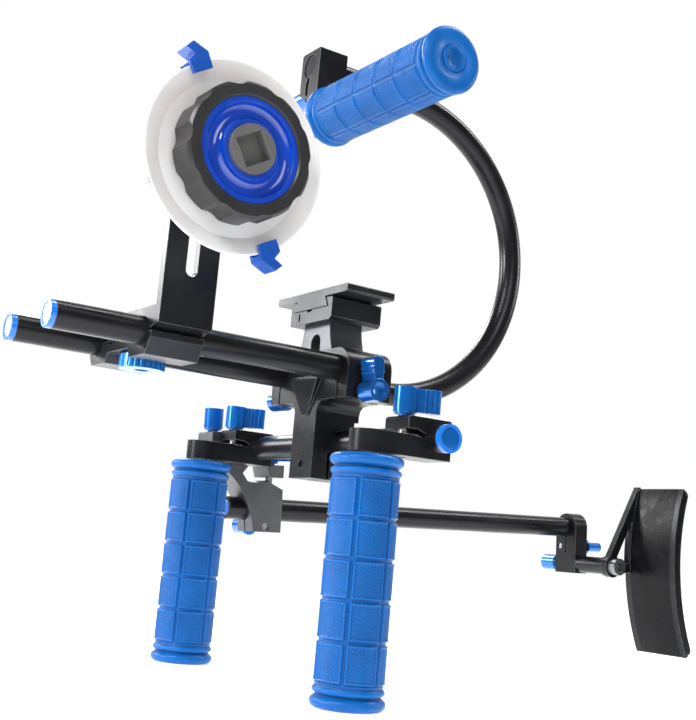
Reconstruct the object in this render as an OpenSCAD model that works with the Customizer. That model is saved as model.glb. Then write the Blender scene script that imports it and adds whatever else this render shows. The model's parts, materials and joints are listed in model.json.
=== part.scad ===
// Shoulder-mount cinema camera rig on 15 mm rods: rod block with quick-release head,
// two side handles, offset tail with shoulder pad, geared follow focus and C-arm top handle.
// Units are mm. +Z is up, -Y points to the lens, +X is the operator's left.
// The origin is the camera screw on the camera seat. Most modules are drawn about the
// crossbar axis and moved there by rig(); the tail is drawn level and pitched by tail().

/* [Rods] */
// Outside diameter of every rod
rod_d = 15; // [15:0.5:19]
// Centre distance of the two front rods
rod_pitch = 60; // [60:1:80]
// Length of a front rod without its cap
front_rod_len = 182; // [150:1:300]
// Length of the tail rod without its cap
tail_rod_len = 322; // [200:1:400]
// Near end of the crossbar, from the middle of the rig
bar_near = 113.8; // [105:0.1:150]
// Far end of the crossbar, from the middle of the rig
bar_far = 126.5; // [124:0.1:160]
// Radial running clearance of a rod or stud in its bore
fit = 0.05; // [0.02:0.01:0.1]

/* [Rod block and head] */
// Height of the camera seat above the crossbar axis
seat_h = 90; // [80:1:130]
// Height of the front rods above the crossbar axis
rod_z = 41.4; // [36:0.1:60]
// Depth of the rod block along the rods
block_len = 30; // [26:1:40]
// Width of the stem that reaches down to the crossbar
stem_w = 24; // [20:1:30]
// Width of the camera plate, across the rig
plate_w = 77; // [60:1:90]
// Length of the camera plate, along the rods
plate_len = 33; // [28:1:50]

/* [Handles] */
// Position of the near handle on the crossbar
near_x = 95; // [60:1:98]
// Position of the far handle on the crossbar, on the other side
far_x = 91; // [60:1:91]
// Reach of an arm, crossbar axis to handle axis
arm_reach = 35.3; // [30:0.1:60]
// Width of an arm
arm_w = 20.6; // [18:0.2:20.6]
// Grip length
grip_len = 125; // [110:1:140]
// Grip radius over its end flanges
grip_r = 19; // [17:0.5:21]
// Rows of pads on a grip
grip_rows = 5; // [3:1:7]
// Columns of pads round a grip
grip_cols = 6; // [4:1:8]

/* [Knobs] */
// Hub radius of a wing knob
knob_r = 6.3; // [5:0.1:7]
// Hub height of a wing knob
knob_h = 13.4; // [10:0.2:16]
// Reach of the wing from the knob axis
wing_len = 19; // [14:0.5:19]

/* [Tail] */
// Pitch of the tail rod, rear end up, degrees
tail_pitch = 2.4; // [0:0.1:6]
// Depth of the tail rod below the crossbar axis
tail_z = 38.5; // [34:0.5:50]
// Width of the shoulder pad
pad_w = 50; // [40:1:90]
// Outside radius of the shoulder pad's curve
pad_r = 175; // [150:1:220]

/* [Follow focus] */
// Distance of the follow focus ahead of the crossbar
ff_y = 122; // [80:1:160]
// Height of the hand wheel axis above the crossbar axis
ff_z = 125; // [116:1:140]
// Teeth on the drive gear
drive_teeth = 40; // [30:1:40]
// Pitch module of the drive gear
drive_mod = 0.8; // [0.7:0.05:0.8]
// Diameter of the marking disc
disc_d = 98; // [80:1:110]
// Lobes round the hand wheel
wheel_lobes = 10; // [8:1:12]

/* [C-arm] */
// Bend radius of the C-arm's centre line
c_r = 100; // [80:1:120]

/* [Hidden] */
rr = rod_d/2;
br = rr + fit;
rx = rod_pitch/2;
cap_t = 3;
bar_y = 3.5;
stud_r = 2.5;
hole_r = stud_r + 0.06;
core_r = 7;
block_f = -17;
block_b = block_f + block_len;
front_rod_b = -3;
front_rod_f = front_rod_b - front_rod_len;
off_x = -(far_x + arm_w + 0.4);
off_w = arm_w;
tail_rod_f = -6;
tail_rod_b = tail_rod_f + tail_rod_len;
pc_w = 22;
pc_f = tail_rod_b - 12.2;
pc_t = 12.5;
shaft_y = pc_f + pc_t/2;
shaft_z = -67.2;
shaft_r = 6.4;
bracket_x = -71;
pad_c = [503.7, -62.4];
pad_a0 = 160.7;
pad_a1 = 203.8;
ff_out = 49.4;
gb_x0 = ff_out + 0.2;
gb_x1 = 78.4;
disc_x = 79.6;
wheel_x = 84.4;
wheel_t = 18;
pin_x = 61.5;
pin_teeth = 16;
con_teeth = 24;
gear_m = 0.8;
c_x = -rx;
c_top = rod_z + 2*c_r;
c_back = 58;
c_end = -18;

// ---- placement helpers ----

module rig() { translate([0, bar_y, -seat_h]) children(); }

module tail() { rig() rotate([tail_pitch, 0, 0]) children(); }

// Draws a Y-Z outline and extrudes it along X over w, centred on x.
module slab_x(x, w) { translate([x - w/2, 0, 0]) rotate([90, 0, 90]) linear_extrude(w) children(); }

// Draws an X-Z outline and extrudes it along +Y from y0 over len.
module slab_y(y0, len) { translate([0, y0 + len, 0]) rotate([90, 0, 0]) linear_extrude(len) children(); }

module rod_x(x0, x1, r) { translate([x0, 0, 0]) rotate([0, 90, 0]) cylinder(r = r, h = x1 - x0, $fn = 96); }

module rod_y(y0, y1, r) { translate([0, y0, 0]) rotate([-90, 0, 0]) cylinder(r = r, h = y1 - y0, $fn = 96); }

// A straight bar in 2-D between two points, with square ends.
module bar2(a, b, w) {
  d = b - a;
  translate(a) rotate(atan2(d[1], d[0])) translate([0, -w/2]) square([norm(d), w]);
}

// ---- shared pieces ----

// Single-wing clamp knob with its screw. Base at z = 0, screw down, wing along +X.
module wing_knob(stud) {
  difference() {
    union() {
      cylinder(r = 3.4, h = 1.4, $fn = 48);
      translate([0, 0, 1.0]) cylinder(r = knob_r - 0.9, h = 1.6, $fn = 64);
      translate([0, 0, 2.0]) cylinder(r = knob_r, h = knob_h, $fn = 72);
      translate([3, -2.9, 2.5]) cube([wing_len - 9, 5.8, knob_h - 0.8]);
      translate([9.6, -3.7, 2.5]) cube([wing_len - 13.3, 7.4, knob_h - 0.8]);
      translate([wing_len - 3.7, 0, 2.5]) cylinder(r = 3.7, h = knob_h - 0.8, $fn = 48);
    }
    translate([0, 0, 2 + knob_h + 11.2]) sphere(r = 12, $fn = 72);
    for (s = [-1, 1], x = [11.2, 13.8])
      translate([x, s*3.9, 0]) cylinder(r = 0.75, h = knob_h + 6, $fn = 24);
  }
  translate([0, 0, -stud]) cylinder(r = stud_r, h = stud + 1, $fn = 48);
}

// Rod end cap: blue rim, dished white face. Axis +Z, seat at z = 0, plug down.
module rod_cap() {
  difference() {
    union() {
      cylinder(r = rr, h = cap_t, $fn = 96);
      translate([0, 0, -8]) cylinder(r = rr - 2.2, h = 8.4, $fn = 72);
    }
    translate([0, 0, cap_t - 0.7]) cylinder(r = rr - 1.6, h = 2, $fn = 72);
  }
}

module socket_screw(head_r, head_h, r, len, key) {
  difference() {
    union() {
      cylinder(r = head_r, h = head_h, $fn = 64);
      translate([0, 0, -len]) cylinder(r = r, h = len + 0.5, $fn = 48);
    }
    translate([0, 0, head_h*0.45]) cylinder(r = key, h = head_h, $fn = 6);
  }
}

// Split-clamp arm. Crossbar bore along X at the origin, handle axis at y = -arm_reach.
module arm_solid() {
  difference() {
    union() {
      slab_x(0, arm_w) polygon([[-arm_reach, -10.8], [9.7, -10.8], [9.7, 9], [8.4, 10.3],
        [-17.6, 10.3], [-18.7, 9.2], [-18.7, 0.6], [-arm_reach, 0.6]]);
      translate([0, -arm_reach, -10.8]) cylinder(r = arm_w/2, h = 11.4, $fn = 96);
    }
    slab_x(0, arm_w + 2) polygon([[-19, 0.6], [-19, 3.7], [-12.4, 3.7], [-6.4, 1.4], [0, 1.4],
      [0, -1], [-6.8, -1], [-13.4, 0.6]]);
    rod_x(-arm_w, arm_w, br);
    translate([0, -14.2, -12]) cylinder(r = hole_r, h = 24, $fn = 48);
    translate([0, -arm_reach, -12]) cylinder(r = 3.05, h = 24, $fn = 48);
    translate([0, -arm_reach, -4.4]) cylinder(r = 5.3, h = 8, $fn = 64);
  }
}

module arm_bolt_solid() {
  translate([0, -arm_reach, -4.4]) socket_screw(5, 5, 3, 26, 2.9);
}

module core_solid() {
  translate([0, -arm_reach, 0]) difference() {
    translate([0, 0, -11.9 - grip_len]) cylinder(r = core_r, h = grip_len + 1.1, $fn = 72);
    translate([0, 0, -42]) cylinder(r = 3.02, h = 40, $fn = 48);
    translate([0, 0, -13 - grip_len]) cylinder(r = 3.4, h = 14, $fn = 48);
  }
}

// Rubber grip: end flanges, rings, and a grid of raised pads cut by round and long grooves.
module grip_solid() {
  n = grip_rows;
  z0 = 12.6;
  pitch = (grip_len - 2*z0)/n;
  g = grip_r;
  L = grip_len;
  half = [[g - 2.6, 0], [g - 0.9, -0.8], [g, -2.6], [g - 0.3, -4.4], [g - 1.8, -6.0],
    [g - 2.6, -7.0], [g - 1.3, -7.7], [g - 0.8, -8.9], [g - 1.3, -10.2], [g - 1.9, -10.9],
    [g - 1.9, -12.0], [g - 1.1, -z0]];
  other = [for (i = [len(half) - 1 : -1 : 0]) [half[i][0], -L - half[i][1]]];
  translate([0, -arm_reach, -11.9]) difference() {
    rotate_extrude($fn = 96)
      polygon(concat([[core_r + 0.02, 0]], half, other, [[core_r + 0.02, -L]]));
    for (i = [1 : n - 1]) translate([0, 0, -z0 - i*pitch])
      rotate_extrude($fn = 96) translate([g - 2.2, -0.8]) square([4, 1.6]);
    for (i = [0 : grip_cols - 1]) rotate([0, 0, i*360/grip_cols + 15])
      translate([g - 2.2, -0.9, -L + z0]) cube([4, 1.8, L - 2*z0]);
  }
}

// Spur gear outline with straight-flanked teeth on real pitch proportions.
module gear2(teeth, m) {
  rp = teeth*m/2;
  ra = rp + m;
  rf = rp - 1.25*m;
  w = 360/teeth;
  polygon([for (i = [0 : teeth - 1], k = [0 : 3])
    let (a = i*w + [-0.27, -0.11, 0.11, 0.27][k]*w, r = (k == 0 || k == 3) ? rf : ra)
    [r*cos(a), r*sin(a)]]);
}

// ---- rod block and quick-release head ----

module rod_block() color("#2b2c2f") rig() difference() {
  union() {
    slab_y(block_f, block_len) union() {
      for (s = [-1, 1]) translate([s*rx, rod_z]) circle(r = 11.8, $fn = 96);
      translate([-rx, rod_z - 11.8]) square([rod_pitch, 23.6]);
      for (s = [-1, 1]) translate([s*(rx + 0.9) - 10.9, 24]) square([21.8, rod_z - 24]);
      polygon([[-stem_w/2, -21.2], [stem_w/2, -21.2], [stem_w/2, 18], [stem_w/2 + 1, 21],
        [stem_w/2 + 3.4, 23.2], [stem_w/2 + 9, 24], [stem_w/2 + 9, 31],
        [-stem_w/2 - 9, 31], [-stem_w/2 - 9, 24], [-stem_w/2 - 3.4, 23.2],
        [-stem_w/2 - 1, 21], [-stem_w/2, 18]]);
    }
    // raised wedge on the front of the block
    intersection() {
      slab_y(block_f - 4, 6) polygon([[-15.4, 38], [15.4, 38], [3.2, 15.6], [-3.2, 15.6]]);
      slab_x(0, 40) polygon([[block_f + 1, 38], [block_f - 2.4, 38], [block_f - 3.2, 36.4],
        [block_f - 0.8, 15.6], [block_f + 1, 15.6]]);
    }
  }
  for (s = [-1, 1]) {
    translate([s*rx, 0, rod_z]) rod_y(block_f - 6, block_b + 5, br);
    // pinch slit below each bore, and the lead-in chamfer at its mouth
    translate([s*(rx + 2) - 0.8, block_f - 5, 20]) cube([1.6, block_len + 10, rod_z - 20]);
    translate([s*(rx + 2), 0, 24]) rotate([0, 45, 0]) translate([-1.3, block_f - 5, -1.3])
      cube([2.6, block_len + 10, 2.6]);
    // clamp screw across the slit
    translate([s*(rx - 9), -5, 28.4]) rotate([0, s*90, 0]) cylinder(r = hole_r, h = 30, $fn = 48);
  }
  // crossbar bore, its slit and the screw that closes it
  rod_x(-30, 30, br);
  translate([-30, -6.9, -25]) cube([60, 2.3, 20]);
  translate([0, block_f - 5, -13]) rotate([-90, 0, 0]) cylinder(r = hole_r, h = block_len - 4, $fn = 48);
  // the back of the stem is cut in to save weight
  translate([-30, 10.2, -30]) cube([60, 10, 44]);
  // tapped holes for the riser screws
  for (s = [-1, 1]) translate([s*9, -3.5, 44]) cylinder(r = 2.05, h = 20, $fn = 32);
}

module riser() color("#34353a") rig() difference() {
  slab_y(-14.2, 22.6) difference() {
    translate([-18.6, rod_z + 11.8]) square([37.2, 70.4 - rod_z - 11.8]);
    // concave flanks
    for (s = [-1, 1]) translate([s*(13.7 + 46), 74]) circle(r = 46, $fn = 128);
    // arch
    translate([0, rod_z + 9]) union() {
      translate([0, 8.6]) circle(r = 5.2, $fn = 64);
      translate([-5.2, 0]) square([10.4, 8.6]);
    }
  }
  for (s = [-1, 1]) translate([s*9, -3.5, 50]) cylinder(r = 2.1, h = 26, $fn = 32);
}

module plate_clamp() color("#36373c") rig() difference() {
  slab_y(-19.4, 34.8) difference() {
    polygon([[-19.4, 70.4], [20.6, 70.4], [22.6, 72.2], [22.6, 83.2], [21.9, 83.9],
      [-19.4, 83.9]]);
    // dovetail channel and the rectangular guide of the jaw
    polygon([[-20, 78.4], [18.3, 78.4], [15.1, 84.4], [-20, 84.4]]);
    translate([-20, 72.6]) square([8, 4.4]);
    translate([-4.4, 77.2]) square([5, 2]);
  }
  for (s = [-1, 1]) translate([s*9, -3.5, 68]) {
    cylinder(r = 2.1, h = 20, $fn = 32);
    translate([0, 0, 6.4]) cylinder(r = 3.8, h = 10, $fn = 48);
  }
  translate([-25, 8.5, 74.8]) rotate([0, 90, 0]) cylinder(r = hole_r, h = 34, $fn = 48);
}

// Sliding dovetail jaw on the far side, guided by its rectangular foot.
module plate_jaw() color("#3a3b40") rig() difference() {
  slab_y(-19.4, 34.8) union() {
    polygon([[-22.6, 70.4], [-19.5, 70.4], [-19.5, 78.4], [-18.3, 78.4], [-15.37, 83.9],
      [-22, 83.9], [-22.6, 83.3]]);
    translate([-20, 72.7]) square([6.2, 4.2]);
  }
  translate([-30, 8.5, 74.8]) rotate([0, 90, 0]) cylinder(r = hole_r, h = 34, $fn = 48);
}

module plate_lock_knob() color("#1557c8") rig() translate([-22.7, 8.5, 74.8])
  rotate([0, -90, 0]) rotate([0, 0, 160]) wing_knob(30);

module camera_plate() color("#303136") rig() difference() {
  union() {
    slab_y(-20, plate_len + 0.1) polygon([[-plate_w/2, 85.6], [-plate_w/2 + 1, 84.6],
      [plate_w/2 - 1, 84.6], [plate_w/2, 85.6], [plate_w/2, 88.6], [plate_w/2 - 0.6, 89.2],
      [-plate_w/2 + 0.6, 89.2], [-plate_w/2, 88.6]]);
    slab_y(-20, plate_len + 0.1) polygon([[-18.1, 78.6], [18.1, 78.6], [15, 84.3], [15, 85],
      [-15, 85], [-15, 84.3]]);
  }
  // screw slot, and the pocket that hides the screw head
  translate([-10, -3.5 - 3.5, 70]) cube([20, 7, 30]);
  for (s = [-1, 1]) translate([s*10, -3.5, 70]) cylinder(r = 3.5, h = 30, $fn = 48);
  translate([-10, -3.5 - 6.6, 78]) cube([20, 13.2, 6.2]);
  for (s = [-1, 1]) translate([s*10, -3.5, 78]) cylinder(r = 6.6, h = 6.2, $fn = 64);
  // recesses for the two grip pads
  for (s = [-1, 1]) translate([s*26.6 - 8.4, -17.4, 88.4]) cube([16.8, 27.8, 2]);
  // safety-pin holes
  for (s = [-1, 1]) translate([s*33, 11.5, 80]) cylinder(r = 1.1, h = 5.8, $fn = 24);
}

module plate_pads() color("#151515") rig() for (s = [-1, 1])
  translate([s*26.6 - 8.3, -17.3, 88.4]) difference() {
    cube([16.6, 27.6, 1.6]);
    for (i = [0 : 8]) translate([-1, 2.4 + i*2.8, 1.1]) cube([20, 0.9, 1]);
  }

// 1/4 inch camera screw with a slotted head and folding ring seat
module camera_screw() color("#b9bcc2") rig() translate([0, -3.5, 80.78]) difference() {
  union() {
    cylinder(r = 6.2, h = 3.4, $fn = 72);
    cylinder(r = 3.35, h = 9.22, $fn = 64);
    cylinder(r = 3.175, h = 14.72, $fn = 64);
  }
  translate([-8, -0.8, -1]) cube([16, 1.6, 2.4]);
}

module block_knob_near() color("#1557c8") rig() translate([rx + 11.9, -5, 28.4])
  rotate([0, 90, 0]) rotate([0, 0, 187]) wing_knob(20.6);

module block_knob_far() color("#1557c8") rig() translate([-rx - 11.9, -5, 28.4])
  rotate([0, -90, 0]) rotate([0, 0, 60]) wing_knob(20.6);

module stem_screw() color("#55575c") rig() translate([0, block_f + 1.2, -13]) rotate([-90, 0, 0])
  difference() {
    cylinder(r = stud_r, h = 19.6, $fn = 48);
    translate([0, 0, -1]) cylinder(r = 1.45, h = 3.6, $fn = 6);
  }

// ---- front rods ----

module rod_solid_y(y0, y1) difference() {
  rod_y(y0, y1, rr);
  rod_y(y0 - 1, y0 + 11, rr - 2.18);
}

module front_rod_near() color("#1c1d20") rig() translate([rx, 0, rod_z])
  rod_solid_y(front_rod_f, block_b - 1);

module front_rod_far() color("#1c1d20") rig() translate([-rx, 0, rod_z])
  rod_solid_y(front_rod_f, front_rod_b);

module front_caps_near() color("#1f6fe0") rig() translate([rx, front_rod_f, rod_z])
  rotate([90, 0, 0]) rod_cap();

module front_caps_far() color("#1f6fe0") rig() translate([-rx, front_rod_f, rod_z])
  rotate([90, 0, 0]) rod_cap();

// ---- crossbar and handles ----

module crossbar() color("#1c1d20") rig() difference() {
  rod_x(-bar_far, bar_near, rr);
  rod_x(bar_near - 11, bar_near + 1, rr - 2.18);
  rod_x(-bar_far - 1, -bar_far + 11, rr - 2.18);
}

module bar_caps() color("#1f6fe0") rig() {
  translate([bar_near, 0, 0]) rotate([0, 90, 0]) rod_cap();
  translate([-bar_far, 0, 0]) rotate([0, -90, 0]) rod_cap();
}

module arm_near() color("#242528") rig() translate([near_x, 0, 0]) arm_solid();
module arm_far() color("#242528") rig() translate([-far_x, 0, 0]) arm_solid();
module arm_bolt_near() color("#8d9096") rig() translate([near_x, 0, 0]) arm_bolt_solid();
module arm_bolt_far() color("#8d9096") rig() translate([-far_x, 0, 0]) arm_bolt_solid();
module handle_core_near() color("#9a9da3") rig() translate([near_x, 0, 0]) core_solid();
module handle_core_far() color("#9a9da3") rig() translate([-far_x, 0, 0]) core_solid();
module grip_near() color("#2f78dc") rig() translate([near_x, 0, 0]) grip_solid();
module grip_far() color("#2f78dc") rig() translate([-far_x, 0, 0]) grip_solid();

module arm_knob_near() color("#1557c8") rig() translate([near_x, -14.2, 10.4])
  rotate([0, 0, 68]) wing_knob(18);

module arm_knob_far() color("#1557c8") rig() translate([-far_x, -14.2, 10.4])
  rotate([0, 0, 68]) wing_knob(18);

// ---- tail ----

module offset_clamp() color("#6d6f74") tail() difference() {
  slab_x(off_x, off_w) difference() {
    polygon([[-24, -40], [-24, 9.2], [-22.9, 10.3], [8.4, 10.3], [9.8, 9], [11.4, -8.6],
      [31.5, -8.6], [31.5, -53.5], [-10, -53.5]]);
    translate([-43.9, -58.6]) circle(r = 54.3, $fn = 180);
    // window under the crossbar and the slit to the rear
    polygon([[0.2, -15.5], [4.2, -20.6], [10.4, -21.4], [18, -20.6], [20.6, -19.2],
      [22.4, -21], [31, -24.7], [33, -25.4], [33, -17], [20.4, -17], [18.4, -9.8], [5, -9.8]]);
    // slit at the front
    polygon([[-25, 0.6], [-25, 3.7], [-12.4, 3.7], [-6.4, 1.4], [0, 1.4], [0, -1],
      [-6.8, -1], [-13.4, 0.6]]);
  }
  rod_x(off_x - 20, off_x + 20, br);
  // tail rod bore, pinch slit under it and the screw across the slit
  translate([off_x, 0, -tail_z]) rod_y(-40, 40, br);
  translate([off_x - 0.8, -40, -60]) cube([1.6, 80, 60 - tail_z]);
  translate([off_x - 20, 20, -49.8]) rotate([0, 90, 0]) cylinder(r = hole_r, h = 40, $fn = 48);
  // screws of the front and rear knobs
  translate([off_x, -18.6, -9]) cylinder(r = hole_r, h = 24, $fn = 48);
  translate([off_x, 26, -29]) cylinder(r = hole_r, h = 24, $fn = 48);
}

module offset_knob_front() color("#1557c8") tail() translate([off_x, -18.6, 10.4])
  rotate([0, 0, 150]) wing_knob(16);

module offset_knob_rear() color("#1557c8") tail() translate([off_x, 26, -8.5])
  rotate([0, 0, 20]) wing_knob(18);

module tail_rod_knob() color("#1557c8") tail() translate([off_x - off_w/2 - 0.1, 20, -49.8])
  rotate([0, -90, 0]) rotate([0, 0, 65]) wing_knob(off_w - 1.2);

module tail_rod() color("#1c1d20") tail() translate([off_x, 0, -tail_z]) difference() {
  rod_y(tail_rod_f, tail_rod_b, rr);
  rod_y(tail_rod_b - 11, tail_rod_b + 1, rr - 2.5);
  rod_y(tail_rod_f - 1, tail_rod_f + 11, rr - 2.5);
}

module pad_clamp() color("#232427") tail() difference() {
  slab_y(pc_f, pc_t) difference() {
    union() {
      translate([off_x, -tail_z]) circle(r = pc_w/2, $fn = 96);
      translate([off_x - pc_w/2, -74.5]) square([pc_w, 74.5 - tail_z]);
    }
    translate([off_x, -tail_z]) circle(r = br, $fn = 96);
  }
  translate([off_x - 20, shaft_y, shaft_z]) rotate([0, 90, 0])
    cylinder(r = 4 + fit, h = 40, $fn = 64);
  // vertical slit from the rod bore and the screw channel across the shaft bore
  translate([off_x - 0.8, pc_f - 1, -60]) cube([1.6, pc_t + 2, 60 - tail_z]);
  translate([off_x - 7, pc_f - 1, -53.6]) rotate([-90, 0, 0]) cylinder(r = hole_r, h = 20, $fn = 48);
}

module pad_clamp_knob() color("#1557c8") tail() translate([off_x - 7, pc_f + pc_t + 0.1, -53.6])
  rotate([-90, 0, 0]) wing_knob(pc_t - 1);

module pivot_shaft() color("#202124") tail() translate([0, shaft_y, shaft_z]) difference() {
  union() {
    rod_x(off_x - pc_w/2 - 1.4, off_x + pc_w/2 + 1, 4);
    rod_x(off_x + pc_w/2 + 0.2, bracket_x - 2.6, shaft_r);
    rod_x(bracket_x - 2.7, bracket_x - 0.02, shaft_r + 1.2);
  }
  rod_x(bracket_x - 22, bracket_x + 5, 3.02);
  rod_x(off_x - pc_w/2 - 9, off_x - pc_w/2 + 12, stud_r + 0.06);
}

module pivot_knob() color("#1557c8") tail()
  translate([off_x - pc_w/2 - 1.6, shaft_y, shaft_z]) rotate([0, -90, 0]) rotate([0, 0, 90])
  wing_knob(12);

module pivot_bolt() color("#c2c5ca") tail() translate([bracket_x + 5.02, shaft_y, shaft_z])
  rotate([0, 90, 0]) socket_screw(6.4, 7, 3, 24, 3.4);

// Part of a ring about the pad's centre of curvature, extruded along X from x over w.
module pad_sector(r0, r1, a0, a1, x, w) translate([x, pad_c[0], pad_c[1]])
  rotate([90, 0, 90]) rotate([0, 0, a0]) rotate_extrude(angle = a1 - a0, $fn = 240)
  translate([r0, 0]) square([r1 - r0, w]);

// Triangular bracket: two struts from the pivot to the curved plate that carries the pad.
module pad_bracket() color("#222326") tail() {
  translate([bracket_x, 0, 0]) rotate([90, 0, 90]) linear_extrude(5) difference() {
    union() {
      translate([shaft_y, shaft_z]) circle(r = 8.4, $fn = 72);
      bar2([shaft_y - 2.2, shaft_z + 3.2], [339, -8.3], 7);
      bar2([shaft_y, shaft_z - 4.4], [333, -66.4], 6.4);
      intersection() {
        translate(pad_c) circle(r = pad_r + 1.6, $fn = 240);
        translate([320, -72]) square([30, 67.4]);
      }
    }
    translate([shaft_y, shaft_z]) circle(r = 3.06, $fn = 48);
    translate(pad_c) circle(r = pad_r - 1, $fn = 240);
  }
  pad_sector(pad_r - 2.4, pad_r, pad_a0 + 0.4, pad_a1 - 0.4, bracket_x + 0.01, pad_w - 1.2);
}

module shoulder_pad() color("#17181a") tail()
  pad_sector(pad_r - 9, pad_r - 2.42, pad_a0, pad_a1, bracket_x, pad_w);

// ---- follow focus ----

// Upper jaw over both rods with the upright slotted arm at its near end.
module ff_bracket() color("#2b2c30") rig() difference() {
  union() {
    slab_y(-ff_y - 15, 30) polygon([[-41.4, rod_z + 0.8], [-41.4, rod_z + 4], [-34, rod_z + 11.4],
      [-30, rod_z + 12.2], [44.4, rod_z + 12.2], [44.4, rod_z + 2.4], [40.4, rod_z + 0.8],
      [17, rod_z + 0.8], [15, rod_z - 1.4], [8.2, rod_z - 1.4], [8.2, rod_z + 3], [-8.2, rod_z + 3],
      [-8.2, rod_z - 1.4], [-15, rod_z - 1.4], [-17, rod_z + 0.8]]);
    translate([44.3, -ff_y - 15, rod_z + 2.4]) cube([ff_out - 44.3, 30, ff_z + 22 - rod_z]);
  }
  for (s = [-1, 1]) translate([s*rx, 0, rod_z]) rod_y(-ff_y - 20, -ff_y + 20, br);
  // slot for the gearbox lock
  translate([40, -ff_y - 3.3, rod_z + 32]) cube([20, 6.6, ff_z + 10 - rod_z - 32]);
  for (z = [rod_z + 32, ff_z + 10]) translate([40, -ff_y, z]) rotate([0, 90, 0])
    cylinder(r = 3.3, h = 20, $fn = 48);
  translate([0, -ff_y, rod_z - 5]) cylinder(r = 3.06, h = 14, $fn = 48);
}

module ff_lower_jaw() color("#3a3b40") rig() difference() {
  slab_y(-ff_y - 15, 30) polygon([[-41.4, rod_z - 0.8], [-41.4, rod_z - 4], [-36, rod_z - 12.6],
    [-17, rod_z - 12.6], [-13.6, rod_z - 7.4], [13.6, rod_z - 7.4], [17, rod_z - 12.6],
    [36, rod_z - 12.6], [41.4, rod_z - 4], [41.4, rod_z - 0.8], [17, rod_z - 0.8],
    [15, rod_z - 2.8], [7.8, rod_z - 2.8], [7.8, rod_z + 1.6], [-7.8, rod_z + 1.6],
    [-7.8, rod_z - 2.8], [-15, rod_z - 2.8], [-17, rod_z - 0.8]]);
  for (s = [-1, 1]) translate([s*rx, 0, rod_z]) rod_y(-ff_y - 20, -ff_y + 20, br + 0.03);
  translate([0, -ff_y, rod_z - 30]) cylinder(r = 3.06, h = 40, $fn = 48);
}

// Fluted thumb knob that draws the two jaws together.
module ff_thumb_knob() color("#1f86ea") rig() translate([0, -ff_y, rod_z - 7.5]) {
  difference() {
    union() {
      translate([0, 0, -0.9]) cylinder(r = 6, h = 0.8, $fn = 48);
      translate([0, 0, -8.4]) cylinder(r = 12.4, h = 7.6, $fn = 96);
    }
    for (i = [0 : 23]) rotate([0, 0, i*15]) translate([12.9, 0, -7.6])
      cylinder(r = 1, h = 8, $fn = 20);
    translate([0, 0, -9]) cylinder(r = 4, h = 2, $fn = 48);
  }
  translate([0, 0, -1]) cylinder(r = 3, h = 16, $fn = 48);
}

module ff_gearbox() color("#1e1f22") rig() translate([0, -ff_y, ff_z]) difference() {
  union() {
    translate([gb_x0, -17, -21]) cube([gb_x1 - gb_x0 - 3, 34, 42]);
    // key that runs in the slot
    translate([45, -3.2, -9]) cube([gb_x0 - 44, 6.4, 18]);
  }
  translate([gb_x0 + 3.6, -13.4, -17.4]) cube([30, 26.8, 34.8]);
  // drive shaft bores front and back
  translate([pin_x, -30, 0]) rotate([-90, 0, 0]) cylinder(r = 3 + fit, h = 60, $fn = 64);
  // lock screw
  translate([40, 0, 0]) rotate([0, 90, 0]) cylinder(r = 2.56, h = gb_x0 + 3.7 - 40 + 0.1, $fn = 48);
  for (y = [-1, 1], z = [-1, 1]) translate([gb_x1 - 12, y*15.2, z*19.2]) rotate([0, 90, 0])
    cylinder(r = 1, h = 12, $fn = 24);
}

module ff_cover() color("#26272b") rig() translate([0, -ff_y, ff_z]) difference() {
  union() {
    translate([gb_x1 - 2.98, -17, -21]) cube([2.6, 34, 42]);
    translate([gb_x1 - 6, 0, 0]) rotate([0, 90, 0]) cylinder(r = 9, h = 5.6, $fn = 72);
    for (y = [-1, 1], z = [-1, 1]) translate([gb_x1 - 10, y*15.2, z*19.2]) rotate([0, 90, 0])
      cylinder(r = 0.98, h = 8, $fn = 24);
  }
  translate([40, 0, 0]) rotate([0, 90, 0]) cylinder(r = 4 + fit, h = 60, $fn = 64);
}

module ff_lock_screw() color("#8d9096") rig() translate([42.7, -ff_y, ff_z]) rotate([0, -90, 0]) {
  difference() {
    union() {
      cylinder(r = 5.6, h = 3.4, $fn = 64);
      translate([0, 0, -1.5]) cylinder(r = 8, h = 1.45, $fn = 64);
      translate([0, 0, -9.6]) cylinder(r = 2.5, h = 10, $fn = 48);
    }
    translate([0, 0, 1.4]) cylinder(r = 2.9, h = 4, $fn = 6);
  }
}

// Hand wheel shaft with the crown gear inside the gearbox.
module ff_wheel_shaft() color("#a9acb2") rig() translate([0, -ff_y, ff_z]) {
  rod_x(gb_x0 + 19.3, wheel_x + 6, 4);
  difference() {
    rod_x(gb_x0 + 19.3, gb_x0 + 21.9, 11.4);
  }
  for (i = [0 : con_teeth - 1]) rotate([(i + 0.5)*360/con_teeth, 0, 0])
    translate([gb_x0 + 17.7, 8.3, -0.45]) cube([1.9, 2.8, 0.9]);
}

// Drive shaft with the pinion that meshes with the crown gear.
module ff_drive_shaft() color("#a9acb2") rig() translate([pin_x, -ff_y, ff_z]) {
  rod_y(-30.4, 19.6, 3);
  rod_y(-11.2, -8.1, pin_teeth*gear_m/2 - 1.2*gear_m);
  translate([0, -8.1, 0]) rotate([90, 0, 0]) linear_extrude(3.1) difference() {
    union() {
      circle(r = pin_teeth*gear_m/2 - 1.2*gear_m, $fn = 48);
      for (i = [0 : pin_teeth - 1]) rotate(i*360/pin_teeth)
        translate([3, -0.36]) square([pin_teeth*gear_m/2 + 0.45 - 3, 0.72]);
    }
    circle(r = 2.6, $fn = 32);
  }
  difference() {
    rod_y(17.4, 19.6, 5);
    translate([0, 0, 0]) rod_y(17, 20, 2.9);
  }
}

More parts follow.
